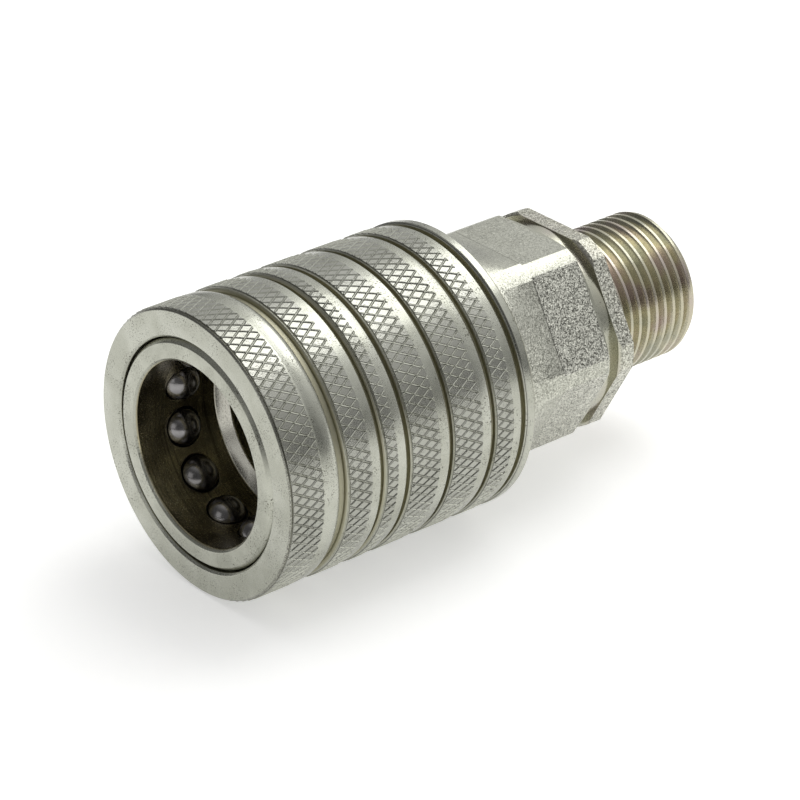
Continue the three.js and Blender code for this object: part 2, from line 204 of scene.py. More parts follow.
def platedSleeve():
    made, node, s = steelFinish("brightZincPlate", sleeveLook)
    # the grooves lie below 18.60; the knurl's cell floors lie at 18.90, and the line pressed along
    # the foot of each ridge at 18.865
    # painted shade: the grooves behind the front face get a darker brownish tone, and more
    # roughness
    behindFace = node("MapRange", [s["x"], stationX(0.25), stationX(0.4)])
    groove = node("MapRange", [s["radius"], 18.60 * mm, 18.76 * mm, 0.9, 0])
    low = node("Math", [groove, behindFace], operation="MULTIPLY")
    # the first land is a bead that stands as high as the knurl, so it is masked out
    aheadBead = node("MapRange", [s["x"], stationX(5.05), stationX(5.13), 1, 0])
    behindBead = node("MapRange", [s["x"], stationX(8.0), stationX(8.1)])
    onKnurl = node("Math", [aheadBead, behindBead], operation="ADD")
    aboveLand = node("MapRange", [s["radius"], 18.805 * mm, 18.82 * mm])
    onKnurl = node("Math", [onKnurl, aboveLand], operation="MULTIPLY")
    # painted shade: the knurl's sunk cell floors are darkened
    cells = node("MapRange", [s["radius"], 18.89 * mm, 18.94 * mm, 0.6, 0])
    cells = node("Math", [cells, onKnurl], operation="MULTIPLY")
    # painted shade: a dark line along the pressed crease at the foot of each ridge
    foot = node("MapRange", [s["radius"], 18.875 * mm, 18.893 * mm, 0.65, 0])
    foot = node("Math", [foot, onKnurl], operation="MULTIPLY")
    # knocked, speckled corner round the front face
    corner = node("MapRange", [s["radius"], 18.58 * mm, 18.66 * mm])
    atFace = node("MapRange", [s["x"], stationX(0.42), stationX(0.5), 1, 0])
    corner = node("Math", [corner, atFace], operation="MULTIPLY")
    speckle = node("MapRange", [s["grain"], 0.4, 0.58])
    knocks = node("Math", [corner, speckle], operation="MULTIPLY")
    colour = s["colour"]
    for share, tone in ((cells, "cellShadeTone"), (foot, "footShadeTone"), (low, "grooveShadeTone"),
                        (knocks, "edgeTone")):
        colour = node("Mix", {0: share, 6: colour, 7: srgb(sleeveLook[tone])},
                      data_type="RGBA").outputs[2]
    dull = node("MapRange", [low, 0, 1, 0, 0.2])
    rough = node("Math", [s["rough"], dull], operation="ADD")
    crisp = node("MapRange", [onKnurl, 0, 1, 0, 0.08])
    rough = node("Math", [rough, crisp], operation="SUBTRACT")
    tooth = node("MapRange", [cells, 0, 0.6, 0.3, 0.8])
    tooth = node("Math", [s["grain"], tooth], operation="MULTIPLY")
    finishSurface(node, colour, rough, [(s["rings"], 0.25, 0.02), (tooth, 0.6, 0.05),
                                        (s["spots"], 0.3, -0.03)], Metallic=1.0)
    return made


# the cage: the same plate on its ring face, oil-darkened phosphated steel in the plug's bore with
# the boring tool's lines left in it
cageLook = {
    "tone": "#B7B8AC", "tone2": "#A8A99D", "driftSize": 4, "pitTone": "#57554A", "pitSize": 0.24,
    "pitEdge": 0.57, "grainSize": 0.15, "ringSize": 0.30, "rough": 0.31, "roughSpread": 0.07,
    "boreTone": "#938C73", "boreTone2": "#BDB593", "ledgeTone": "#B9B7AD", "lineTone": "#4E4938",
}


def platedCage():
    made, node, s = steelFinish("oiledPlatedCage", cageLook)
    oily = node("MapRange", [s["patches"], 0.40, 0.68])
    lines = node("MapRange", [s["rings"], 0.5, 0.68, 0, 0.75])
    oil = srgb(cageLook["boreTone"])
    for share, tone in ((oily, "boreTone2"), (lines, "lineTone")):
        oil = node("Mix", {0: share, 6: oil, 7: srgb(cageLook[tone])}, data_type="RGBA").outputs[2]
    inBore = node("MapRange", [s["radius"], 12.13 * mm, 12.3 * mm, 1, 0])
    behindBore = node("MapRange", [s["x"], stationX(12.3), stationX(12.5)])
    aheadSeal = node("MapRange", [s["x"], stationX(13.4), stationX(13.6), 1, 0])
    ledge = node("Math", [behindBore, aheadSeal], operation="MULTIPLY")
    colour = s["colour"]
    for share, tone in ((inBore, oil), (ledge, srgb(cageLook["ledgeTone"]))):
        colour = node("Mix", {0: share, 6: colour, 7: tone}, data_type="RGBA").outputs[2]
    bored = node("Math", [inBore, ledge], operation="SUBTRACT", use_clamp=True)
    cut = node("MapRange", [bored, 0, 1, 0.15, 1.6])
    cut = node("Math", [s["rings"], cut], operation="MULTIPLY")
    shine = node("MapRange", [inBore, 0, 1, 0, 0.09])
    rough = node("Math", [s["rough"], shine], operation="SUBTRACT")
    finishSurface(node, colour, rough, [(cut, 0.6, 0.05), (s["grain"], 0.2, 0.02),
                                        (s["spots"], 0.3, -0.03)], Metallic=1.0)
    return made


# the adapter: zinc plate over a shot-blasted bar, so the flats have tilted pebble facets with
# painted sparkle in their colour, a painted shadow line where each flat starts, and yellow-pink
# iridescent passivate on the turned neck and the rolled thread
adapterLook = {
    "tone": "#B9BAAD", "tone2": "#ACADA0", "driftSize": 6, "pitTone": "#77756A", "pitSize": 0.3,
    "pitEdge": 0.62, "grainSize": 0.26, "ringSize": 0.2, "rough": 0.34, "roughSpread": 0.07,
    "yellow": "#C0B99F", "pink": "#B9AAA2", "olive": "#A5A390", "hueSize": 5.5, "pebble": 0.14,
    # painted sparkle tones for the blasted facets, and the painted shadow tone for the line where
    # each flat starts
    "sparkleDark": "#5C5C55", "sparkleBright": "#F0F0E4", "tilt": 0.6, "stepShadowTone": "#3E3E38",
}


def blastedAdapter():
    look = adapterLook
    made, node, s = steelFinish("blastedZincPlate", look)
    tint = node("TexNoise", {"Vector": s["place"], "Scale": perMm(look["hueSize"]), "Detail": 2,
                             "Roughness": 0.5})
    hue = node("ValToRGB", [tint])
    hue.color_ramp.elements.new(0.5)
    for stop, (share, tone) in zip(hue.color_ramp.elements,
                                   ((0.36, "olive"), (0.5, "yellow"), (0.64, "pink"))):
        stop.position, stop.color = share, srgb(look[tone])
    # blasted on the bar, the flats and the collar; turned on the neck; rolled on the thread
    onBar = node("MapRange", [s["x"], stationX(55.2), stationX(55.4), 0.6, 0])
    out = None
    for turned in (0, 60, 120):      # how far out the nearest pair of flats would put this point
        angle = math.radians(turned)
        face = node("VectorMath", [s["place"], (0, math.sin(angle), math.cos(angle))],
                    operation="DOT_PRODUCT").outputs["Value"]
        face = node("Math", [face], operation="ABSOLUTE")
        out = node("Math", [face, out], operation="MAXIMUM") if out else face
    onFlat = node("MapRange", [out, 13.40 * mm, 13.47 * mm])
    behindBar = node("MapRange", [s["x"], stationX(47.5), stationX(47.6)])
    onFlat = node("Math", [onFlat, behindBar], operation="MULTIPLY")
    blasted = node("Math", [onBar, onFlat], operation="MAXIMUM")
    behindFlat = node("MapRange", [s["x"], stationX(55.35), stationX(55.45)])
    aheadCollar = node("MapRange", [s["x"], stationX(57.5), stationX(57.6), 1, 0])
    neck = node("Math", [behindFlat, aheadCollar], operation="MULTIPLY")
    blasted = node("Math", [blasted, neck], operation="SUBTRACT", use_clamp=True)
    # the blasted look, painted sparkle and facet tilt included, fades out towards the top flat
    height = node("SeparateXYZ", [s["place"]]).outputs["Z"]
    topFlatFade = node("MapRange", [height, 12.4 * mm, 13.2 * mm, 1, 0.4])
    blasted = node("Math", [blasted, topFlatFade], operation="MULTIPLY")
    behindNeck = node("MapRange", [s["x"], stationX(57.6), stationX(57.8)])
    outsideThread = node("MapRange", [s["radius"], 12.9 * mm, 13.2 * mm, 0, 0.8])
    onCollar = node("Math", [behindNeck, outsideThread], operation="MULTIPLY")
    blasted = node("Math", [blasted, onCollar], operation="MAXIMUM")
    # painted shadow: a dark line painted in the small step where each flat starts
    stepShadowFront = node("MapRange", [s["x"], stationX(47.42), stationX(47.48)])
    stepShadowRear = node("MapRange", [s["x"], stationX(47.68), stationX(47.74), 1, 0])
    stepShadow = node("Math", [stepShadowFront, stepShadowRear], operation="MULTIPLY")
    underBar = node("MapRange", [s["radius"], 14.8 * mm, 14.95 * mm, 0.75, 0])
    stepShadow = node("Math", [stepShadow, underBar], operation="MULTIPLY")
    # every blasted pebble mark is a small facet with its own tilt and its own painted sparkle, a
    # tone from dark grey to near white
    cells = node("TexVoronoi", {"Vector": s["place"],
                                "Scale": perMm(look["pebble"])}).outputs["Color"]
    own = node("SeparateXYZ", [cells]).outputs["X"]
    bright = node("MapRange", [own, 0.05, 0.95])
    paintedSparkle = node("Mix", {0: bright, 6: srgb(look["sparkleDark"]), 7: srgb(look["sparkleBright"])},
                   data_type="RGBA").outputs[2]
    rear = node("MapRange", [s["x"], stationX(54.8), stationX(60.5), 0, 0.75])
    sparkleShare = node("Math", [blasted, 0.85], operation="MULTIPLY")
    colour = s["colour"]
    for share, tone in ((rear, hue), (sparkleShare, paintedSparkle), (stepShadow, srgb(look["stepShadowTone"]))):
        colour = node("Mix", {0: share, 6: colour, 7: tone}, data_type="RGBA").outputs[2]
    lean = node("VectorMath", [cells, (0.5, 0.5, 0.5)], operation="SUBTRACT")
    for factor in (blasted, look["tilt"]):
        lean = node("VectorMath", {0: lean, 3: factor}, operation="SCALE")
    normal = node("NewGeometry").outputs["Normal"]
    normal = node("VectorMath", [normal, lean], operation="ADD")
    normal = node("VectorMath", [normal], operation="NORMALIZE")
    lines = node("MapRange", [blasted, 0, 0.2, 1, 0.2])
    lines = node("Math", [s["rings"], lines], operation="MULTIPLY")
    shine = node("MapRange", [blasted, 0, 0.5, 0.1, 0])
    rough = node("Math", [s["rough"], shine], operation="SUBTRACT")
    finishSurface(node, colour, rough, [(lines, 0.3, 0.03), (s["spots"], 0.25, -0.04)],
                  normal, Metallic=1.0)
    return made


# through-hardened chrome steel bearing balls, ground and tumbled, with an oil film
ballLook = {
    "tone": "#8F8D8D", "tone2": "#7D7B7A", "driftSize": 2.2, "pitTone": "#3F3B37", "pitSize": 0.2,
    "pitEdge": 0.73, "grainSize": 0.35, "ringSize": 0.3, "rough": 0.22, "roughSpread": 0.04,
}


def bearingBall():
    made, node, s = steelFinish("chromeSteelBall", ballLook)
    finishSurface(node, s["colour"], s["rough"], [(s["grain"], 0.12, 0.01),
                                                  (s["spots"], 0.2, -0.01)], Metallic=1.0)
    return made


# patented spring wire, phosphated and oiled: dark grey, drawn along the wire
wireLook = {
    "tone": "#84837C", "tone2": "#6A6961", "driftSize": 3, "pitTone": "#34322C", "pitSize": 0.2,
    "pitEdge": 0.6, "grainSize": 0.18, "ringSize": 0.12, "rough": 0.38, "roughSpread": 0.08,
}
# turned tin bronze guide ring: warm yellow-brown, fine turning lines
bronzeLook = {
    "tone": "#C39A63", "tone2": "#A87F4C", "driftSize": 3, "pitTone": "#5E4527", "pitSize": 0.25,
    "pitEdge": 0.62, "grainSize": 0.15, "ringSize": 0.1, "rough": 0.36, "roughSpread": 0.08,
}
# turned steel valve parts, bright with a trace of oil
poppetLook = {
    "tone": "#B9B8B0", "tone2": "#9C9B92", "driftSize": 3, "pitTone": "#4E4C44", "pitSize": 0.2,
    "pitEdge": 0.63, "grainSize": 0.15, "ringSize": 0.09, "rough": 0.28, "roughSpread": 0.07,
}


def bareMetal(name, look):
    made, node, s = steelFinish(name, look)
    finishSurface(node, s["colour"], s["rough"], [(s["rings"], 0.4, 0.03), (s["grain"], 0.2, 0.02),
                                                  (s["spots"], 0.25, -0.02)], Metallic=1.0)
    return made


def mouldedSeal(name, look):
    # moulded rubber or skived plastic: fine surface tooth, faint dusty bloom
    made, node = newMaterial(name)
    place = node("TexCoord").outputs["Object"]
    bloom = node("TexNoise", {"Vector": place, "Scale": perMm(1.5), "Detail": 4,
                              "Roughness": 0.55})
    tooth = node("TexNoise", {"Vector": place, "Scale": perMm(look["toothSize"]), "Detail": 2,
                              "Roughness": 0.6})
    dusty = node("MapRange", [bloom, 0.35, 0.7])
    colour = node("Mix", {0: dusty, 6: srgb(look["tone"]), 7: srgb(look["bloom"])},
                  data_type="RGBA").outputs[2]
    rough = node("MapRange", [tooth, 0.3, 0.7, look["rough"] - 0.06, look["rough"] + 0.06])
    finishSurface(node, colour, rough, [(tooth, 0.3, 0.02), (bloom, 0.1, 0.05)], IOR=look["ior"])
    return made


nitrileLook = {"tone": "#1A1A1B", "bloom": "#2B2B2B", "toothSize": 0.12, "rough": 0.46, "ior": 1.52}
ptfeLook = {"tone": "#E4E2D9", "bloom": "#D2CFC2", "toothSize": 0.15, "rough": 0.5, "ior": 1.35}

finishes = {
    "zinc_sleeve": platedSleeve(),
    "cage_steel": platedCage(),
    "adapter_steel": blastedAdapter(),
    "ball_steel": bearingBall(),
    "spring_steel": bareMetal("phosphatedSpringWire", wireLook),
    "guide_bronze": bareMetal("turnedBronze", bronzeLook),
    "poppet_steel": bareMetal("turnedPoppetSteel", poppetLook),
    "seal_rubber": mouldedSeal("mouldedNitrile", nitrileLook),
    "backup_ptfe": mouldedSeal("skivedPtfe", ptfeLook),
}


def studioPaper():
    # matt white background paper, lit from below
    made, node = newMaterial("studioPaper")
    place = node("TexCoord").outputs["Object"]
    fibre = node("TexNoise", {"Vector": place, "Scale": perMm(0.8), "Detail": 3,
                              "Roughness": 0.55})
    flecks = node("MapRange", [fibre, 0.3, 0.7])
    colour = node("Mix", {0: flecks, 6: srgb("#F6F6F4"), 7: srgb("#F1F1EF")},
                  data_type="RGBA").outputs[2]
    finishSurface(node, colour, 0.85, [(fibre, 0.05, 0.02)], **{
        "Emission Color": (1, 1, 1, 1), "Emission Strength": 0.45})
    return made


floorDrop = 0.00006       # the knurl's tops reach a little past the CAD sleeve
floorMesh = bmesh.new()
bmesh.ops.create_grid(floorMesh, x_segments=8, y_segments=8, size=4)
bmesh.ops.translate(floorMesh, verts=floorMesh.verts, vec=(0, 0, cadBox[0].z - floorDrop))
floorData = bpy.data.meshes.new("floor")
floorMesh.to_mesh(floorData)
floorMesh.free()
floorData.materials.append(studioPaper())
floor = bpy.data.objects.new("floor", floorData)
bpy.context.collection.objects.link(floor)

# room: brightest up behind the thread, dark towards the floor line and up behind the mouth
world = bpy.data.worlds.new("studio")
bpy.context.scene.world = world
world.use_nodes = True
world.node_tree.nodes.clear()
roomSide = (0.55, 0.10, 0.83)
roomLevels = [(0.0, 0.15), (0.25, 0.18), (0.53, 0.50), (0.77, 0.76), (0.86, 0.95), (1.0, 1.0)]
roomNode = partial(addNode, world.node_tree)
towards = roomNode("VectorMath", [roomNode("TexCoord").outputs["Generated"], roomSide],
                   operation="DOT_PRODUCT").outputs["Value"]
glow = roomNode("ValToRGB", [towards])
for place, level in roomLevels[1:-1]:
    glow.color_ramp.elements.new(place)
for stop, (place, level) in zip(glow.color_ramp.elements, roomLevels):
    stop.position, stop.color = place, (level, level, level, 1)
roomNode("OutputWorld", [roomNode("Background", {"Color": (1, 1, 1, 1), "Strength": glow})])
print("camera, light and materials ready")


# shared shaping
def turn(bm, outline, steps=144, closed=True):
    # outline of (station, radius) or (station, radius, rounding) points, spun round the axis
    verts = [bm.verts.new((stationX(p[0]), 0, p[1] * mm)) for p in outline]
    pairs = list(zip(verts, verts[1:] + (verts[:1] if closed else [])))
    edges = [bm.edges.new(pair) for pair in pairs]
    for size in sorted({p[2] for p in outline if len(p) > 2}):
        corners = [v for v, p in zip(verts, outline) if len(p) > 2 and p[2] == size]
        made = bmesh.ops.bevel(bm, geom=corners, offset=size * mm, offset_type="OFFSET",
                               affect="VERTICES", segments=3, profile=0.5, material=-1)
        verts = [v for v in verts if v.is_valid] + list(made["verts"])
    verts = {v for v in verts if v.is_valid}
    edges = {e for v in verts for e in v.link_edges}
    bmesh.ops.spin(bm, geom=list(verts) + list(edges), cent=origin, axis=axis,
                   angle=2 * math.pi, steps=steps, use_merge=True)


def whole(bm):
    return bm.verts[:] + bm.edges[:] + bm.faces[:]


def join(bm, part):
    data = bpy.data.meshes.new("part")
    part.to_mesh(data)
    part.free()
    bm.from_mesh(data)
    bpy.data.meshes.remove(data)


def tidy(bm, gap=1e-6):
    bmesh.ops.remove_doubles(bm, verts=bm.verts, dist=gap)
    bmesh.ops.dissolve_degenerate(bm, edges=bm.edges, dist=1e-8)
    bmesh.ops.recalc_face_normals(bm, faces=bm.faces)


def addPiece(bm, name, body, slotName, nodes, sharp=32):
    data = bpy.data.meshes.new(name)
    bm.to_mesh(data)
    bm.free()
    data.polygons.foreach_set("use_smooth", [True] * len(data.polygons))
    data.set_sharp_from_angle(angle=math.radians(sharp))
    data.materials.append(finishes[slotName])
    piece = bpy.data.objects.new(name, data)
    bpy.context.collection.objects.link(piece)
    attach(piece, body)
    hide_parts(*nodes)
    print(name, len(data.polygons), "faces")
    return piece


def loopAt(bm, station, low=0.0, high=1e3):
    # open edges that lie in the plane of this station, between two radii
    x = stationX(station)
    found = []
    for e in bm.edges:
        if len(e.link_faces) == 1 and all(abs(v.co.x - x) < 2e-6 for v in e.verts):
            r = math.hypot(e.verts[0].co.y, e.verts[0].co.z) / mm
            if low <= r <= high:
                found.append(e)
    return found


def ringPiece(name, body, slotName, nodes, outline, steps=120):
    bm = bmesh.new()
    turn(bm, outline, steps)
    tidy(bm)
    return addPiece(bm, name, body, slotName, nodes)


def roundSection(station, orbit, radius, corners=16):
    turnBy = 2 * math.pi / corners
    return [(station + radius * math.cos(i * turnBy), orbit + radius * math.sin(i * turnBy))
            for i in range(corners)]


# knurled sleeve
sleeve = {
    "top": 19.0,              # knurl tops
    "land": 18.8,             # smooth strip behind each knurl
    "floor": 18.12,           # groove floors
    "bed": 18.7,              # metal under the knurl
    "face": 18.6,             # outer edge of the front face
    # knurl front, knurl rear, land rear, groove rear
    "bands": [(0.5, 5.15, 7.85, 8.75), (9.3, 12.65, 14.0, 14.75), (15.25, 16.75, 18.15, 18.85),
              (19.2, 23.5, 25.0, 25.7), (26.0, 30.4, 31.85, 32.6), (32.9, 35.45, 36.75, 37.6)],
    "collar": 37.9,
    "rear": 39.4,
    "lines": 87,              # knurl lines of each hand round the sleeve
    "lineAngle": 30,          # degrees to the axis
    "crestHalf": 0.012,       # half the flat top of a ridge
    "wall": 0.115,            # width of a ridge's side
    "foot": 0.05,             # groove pressed along the foot of each ridge
    "footDepth": 0.135,
    "cellDepth": 0.10,
    "bore": [(39.4, 16.9, 0.15), (38.95, 16.9), (38.95, 17.5), (37.75, 17.5), (37.75, 16.9, 0.05),
             (10.6, 16.9), (10.6, 15.45, 0.06), (7.45, 15.45, 0.1), (4.332, 17.25, 0.1),
             (1.2, 17.25), (1.2, 15.2, 0.08), (0.3, 15.2, 0.08), (0, 15.5, 0.05)],
}


def sleeveOutline():
    s = sleeve
    top, land, floorR, bed = s["top"], s["land"], s["floor"], s["bed"]
    points = [(0, s["face"], 0.08), (0.2, s["face"] + 0.2), (0.3, bed)]
    for i, (front, rear, landRear, grooveRear) in enumerate(s["bands"]):
        points += [(rear - 0.02, bed), (rear - 0.02, land, 0.03)]
        if i == 0:     # the first land is a rounded bead
            points += [(rear + 0.35, land, 0.15), (rear + 0.75, top - 0.04, 0.3),
                       (landRear - 0.75, top - 0.08, 0.3), (landRear - 0.25, land - 0.1, 0.1),
                       (landRear, land - 0.25, 0.05)]
        else:
            points += [(landRear, land, 0.12)]
        nextFront = s["bands"][i + 1][0] if i + 1 < len(s["bands"]) else s["collar"]
        edge = nextFront - grooveRear
        points += [(landRear, floorR, 0.1), (grooveRear, floorR, 0.1),
                   (grooveRear, top - edge, 0.05)]
        if i + 1 < len(s["bands"]):
            points += [(nextFront - 0.26, top - 0.26), (nextFront - 0.2, bed)]
        else:
            points += [(nextFront, top, 0.1)]
    points += [(s["rear"] - 0.6, top, 0.15), (s["rear"], top - 0.6, 0.12)]
    return points + s["bore"]


def knurlBand(front, rear):
    # a flat lattice of diamond cells sunk between ridges, cut to one pitch, wrapped to the sleeve's
    # radius and copied round it
    s = sleeve
    pitch = 2 * math.pi * s["top"] / s["lines"]
    long = pitch / math.tan(math.radians(s["lineAngle"]))
    cells = 34
    bm = bmesh.new()
    bmesh.ops.create_grid(bm, x_segments=cells, y_segments=cells, size=cells / 2)
    bmesh.ops.rotate(bm, verts=bm.verts, cent=origin, matrix=Matrix.Rotation(math.pi / 4, 3, "Z"))
    bmesh.ops.scale(bm, verts=bm.verts, vec=(long / math.sqrt(2), pitch / math.sqrt(2), 1))
    bmesh.ops.translate(bm, verts=bm.verts, vec=(s["rear"] / 2, 0, 0))

    def cut(place, out):
        bmesh.ops.bisect_plane(bm, geom=whole(bm), dist=1e-6, plane_co=place, plane_no=out,
                               clear_outer=True)

    def keepNear(low, high, side):
        far = [f for f in bm.faces if not (low - long < f.calc_center_median().x < high + long
                                           and abs(f.calc_center_median().y) < side)]
        bmesh.ops.delete(bm, geom=far, context="FACES")

    keepNear(front, rear, 2 * pitch)
    diamonds = bm.faces[:]
    for wide, deep in ((s["crestHalf"], 0), (s["wall"], s["footDepth"]),
                       (s["foot"], s["cellDepth"] - s["footDepth"])):
        bmesh.ops.inset_individual(bm, faces=diamonds, thickness=wide, depth=-deep,
                                   use_even_offset=True)
    cut((0, 0, 0), (0, -1, 0))
    cut((0, pitch, 0), (0, 1, 0))
    cut((front, 0, 0), (-2, 0, 1))     # the chamfer in front runs up through the diamonds
    cut((rear, 0, 0), (1, 0, 0))
    # skirts close the ends down into the sleeve
    ends = [e for e in bm.edges if len(e.link_faces) == 1
            and not all(abs(v.co.y) < 1e-5 for v in e.verts)
            and not all(abs(v.co.y - pitch) < 1e-5 for v in e.verts)]
    made = bmesh.ops.extrude_edge_only(bm, edges=ends)["geom"]
    for v in made:
        if isinstance(v, bmesh.types.BMVert):
            if v.co.x < (front + rear) / 2:
                v.co.x = front - 0.2
            v.co.z = -0.4
    for v in bm.verts:
        turned = v.co.y / s["top"]
        reach = (s["top"] + v.co.z) * mm
        v.co = (stationX(v.co.x), reach * math.sin(turned), reach * math.cos(turned))
    copies = s["lines"] - 1
    bmesh.ops.spin(bm, geom=whole(bm), cent=origin, axis=axis,
                   angle=-2 * math.pi * copies / s["lines"], steps=copies, use_duplicate=True)
    bmesh.ops.remove_doubles(bm, verts=bm.verts, dist=2e-6)
    return bm


body = bmesh.new()
turn(body, sleeveOutline(), 156)
tidy(body)
for band in sleeve["bands"]:
    strip = knurlBand(band[0], band[1])
    inner = [e for e in strip.edges if len(e.link_faces) == 1]
    bmesh.ops.bridge_loops(strip, edges=inner)
    bmesh.ops.recalc_face_normals(strip, faces=strip.faces)
    join(body, strip)
addPiece(body, "knurledSleeve", "sleeve", "zinc_sleeve", ["outer_sleeve"], 25)

ringPiece("turnedGuideRing", "sleeve", "guide_bronze", ["sleeve_guide_ring"],
          [(31.3, 15.3, 0.15), (31.3, 16.7, 0.25), (37.55, 16.7, 0.25), (37.55, 15.3, 0.15)])
ringPiece("springSeatWasher", "thrust_washer", "spring_steel", ["spring_thrust_washer"],
          [(10.9, 14.7, 0.12), (10.9, 16.7, 0.15), (11.9, 16.7, 0.15), (11.9, 14.7, 0.12)])

snapRing = {"front": 37.85, "rear": 38.85, "inner": 15.9, "outer": 17.4, "opening": 26,
            "edge": 0.12, "steps": 90}


def openRing():
    s = snapRing
    bm = bmesh.new()
    start = math.radians(s["opening"] / 2)
    corners = [(s["front"], s["inner"]), (s["front"], s["outer"]), (s["rear"], s["outer"]),
               (s["rear"], s["inner"])]
    verts = [bm.verts.new((stationX(a), 0, r * mm)) for a, r in corners]
    bm.faces.new(verts)
    bmesh.ops.rotate(bm, verts=bm.verts, cent=origin,
                     matrix=Matrix.Rotation(math.pi / 2 + start, 3, "X"))
    bmesh.ops.spin(bm, geom=whole(bm), cent=origin, axis=axis,
                   angle=2 * math.pi - 2 * start, steps=s["steps"])
    bmesh.ops.recalc_face_normals(bm, faces=bm.faces)
    sharpEdges = [e for e in bm.edges if len(e.link_faces) == 2 and e.calc_face_angle() > 1]
    bmesh.ops.bevel(bm, geom=sharpEdges, offset=s["edge"] * mm, affect="EDGES", segments=2,
                    profile=0.5, material=-1)
    tidy(bm)
    return bm


addPiece(openRing(), "sleeveSnapRing", "sleeve", "spring_steel", ["sleeve_snap_ring"])
print("sleeve done")

# ball cage
cage = {
    "bore": 12.1,
    "outer": 14.95,
    "holes": 12,
    "holeRadius": 2.62,
    "holeEdge": 0.08,
    "station": 7.25,
    "patchFront": 3.75,
    "patchRear": 10.75,
    "patchSteps": 8,          # mesh steps across one hole's 30 degree share
    "nose": [(0, 12.5, 0.06), (0, 14.45, 0.06), (0.55, 14.95, 0.08)],
    "rear": [(29.2, 14.4, 0.2), (29.2, 16.6, 0.1), (31.0, 16.6, 0.1), (31.0, 14.95, 0.15),
             (33.6, 14.95, 0.2), (33.6, 12.6, 0.15), (25.0, 12.6), (25.0, 10.6), (22.2, 10.6),
             (22.2, 9.6, 0.05), (20.8, 8.2, 0.05), (19.4, 8.2, 0.1), (19.4, 10.3, 0.1),
             (18.3, 10.3, 0.1), (18.3, 12.5, 0.1), (14.5, 12.5, 0.1), (14.5, 10.3, 0.1),
             (13.4, 10.3, 0.12), (12.4, 12.1, 0.1)],
}


def holePatch(bm, reach):
    # one 30 degree patch of the bore or the bar with a round hole, laid on the cylinder
    c = cage
    steps = c["patchSteps"]
    centreX = stationX(c["station"])
    half = math.pi / c["holes"]
    patch = bmesh.new()
    bmesh.ops.create_grid(patch, x_segments=steps, y_segments=steps, size=1)
    inside = [v for v in patch.verts if max(abs(v.co.x), abs(v.co.y)) < 0.99]
    bmesh.ops.delete(patch, geom=inside, context="VERTS")
    for f in patch.faces[:]:
        patch.faces.remove(f)
    frontX, rearX = stationX(c["patchFront"]), stationX(c["patchRear"])
    for v in patch.verts:
        v.co = ((frontX + rearX) / 2 + v.co.x * (rearX - frontX) / 2,
                reach * mm * math.sin(v.co.y * half), 0)
    rim = bmesh.ops.create_circle(patch, segments=4 * steps, radius=c["holeRadius"] * mm)["verts"]
    bmesh.ops.translate(patch, verts=rim, vec=(centreX, 0, 0))
    loose = [e for e in patch.edges if not e.link_faces]
    bmesh.ops.bridge_loops(patch, edges=loose)
    spokes = [e for e in patch.edges if len(e.link_faces) == 2]
    bmesh.ops.subdivide_edges(patch, edges=spokes, cuts=2, use_grid_fill=False)
    for v in patch.verts:
        v.co.z = math.sqrt(max((reach * mm) ** 2 - v.co.y ** 2, 0))
    join(bm, patch)


def ballCage():
    c = cage
    bm = bmesh.new()
    holePatch(bm, c["bore"])
    holePatch(bm, c["outer"])
    centre = Vector((stationX(c["station"]), 0, 0))
    rims = [e for e in bm.edges if len(e.link_faces) == 1 and all(
        abs(math.hypot(v.co.x - centre.x, v.co.y) - c["holeRadius"] * mm) < 1e-6 for v in e.verts)]
    bmesh.ops.bridge_loops(bm, edges=rims)
    bmesh.ops.bevel(bm, geom=rims, offset=c["holeEdge"] * mm, affect="EDGES", segments=2,
                    profile=0.5, material=-1)
    share = 2 * math.pi / c["holes"]
    bmesh.ops.rotate(bm, verts=bm.verts, cent=origin, matrix=Matrix.Rotation(share / 2, 3, "X"))
    copies = c["holes"] - 1
    bmesh.ops.spin(bm, geom=whole(bm), cent=origin, axis=axis, angle=share * copies,
                   steps=copies, use_duplicate=True)
    around = c["patchSteps"] * c["holes"]
    front = [(c["patchFront"], c["bore"]), (0.4, c["bore"], 0.1)] + c["nose"]
    front += [(c["patchFront"], c["outer"])]
    rear = [(c["patchRear"], c["outer"]), (c["patchRear"] + 0.05, 14.4)] + c["rear"]
    rear += [(c["patchRear"], c["bore"])]
    turn(bm, front, around, closed=False)
    turn(bm, rear, around, closed=False)
    tidy(bm, 4e-6)
    return bm


addPiece(ballCage(), "ballCage", "valve_body", "cage_steel", ["ball_cage"])

for i in range(cage["holes"]):
    node = f"locking_ball_{i + 1:02d}"
    low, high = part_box(node)
    bm = bmesh.new()
    bmesh.ops.create_icosphere(bm, subdivisions=5, radius=2.5 * mm)
    bmesh.ops.translate(bm, verts=bm.verts, vec=(low + high) / 2)
    addPiece(bm, f"bearingBall{i + 1:02d}", f"ball_{i + 1:02d}", "ball_steel", [node], 60)
print("cage and balls done")

# seals and poppet
ringPiece("noseSeal", "valve_body", "seal_rubber", ["nose_o_ring"], roundSection(15.9, 11.25, 1.1))
ringPiece("noseBackupRing", "valve_body", "backup_ptfe", ["nose_backup_ring"],
          [(17.1, 10.45, 0.1), (17.1, 12.3, 0.15), (18.2, 12.3, 0.15), (18.2, 10.45, 0.1)])
ringPiece("poppetSeal", "poppet", "seal_rubber", ["poppet_seal"], roundSection(22.1, 8.35, 0.7))
ringPiece("adapterSeal", "valve_body", "seal_rubber", ["adapter_o_ring"],
          roundSection(28, 11.75, 0.75))

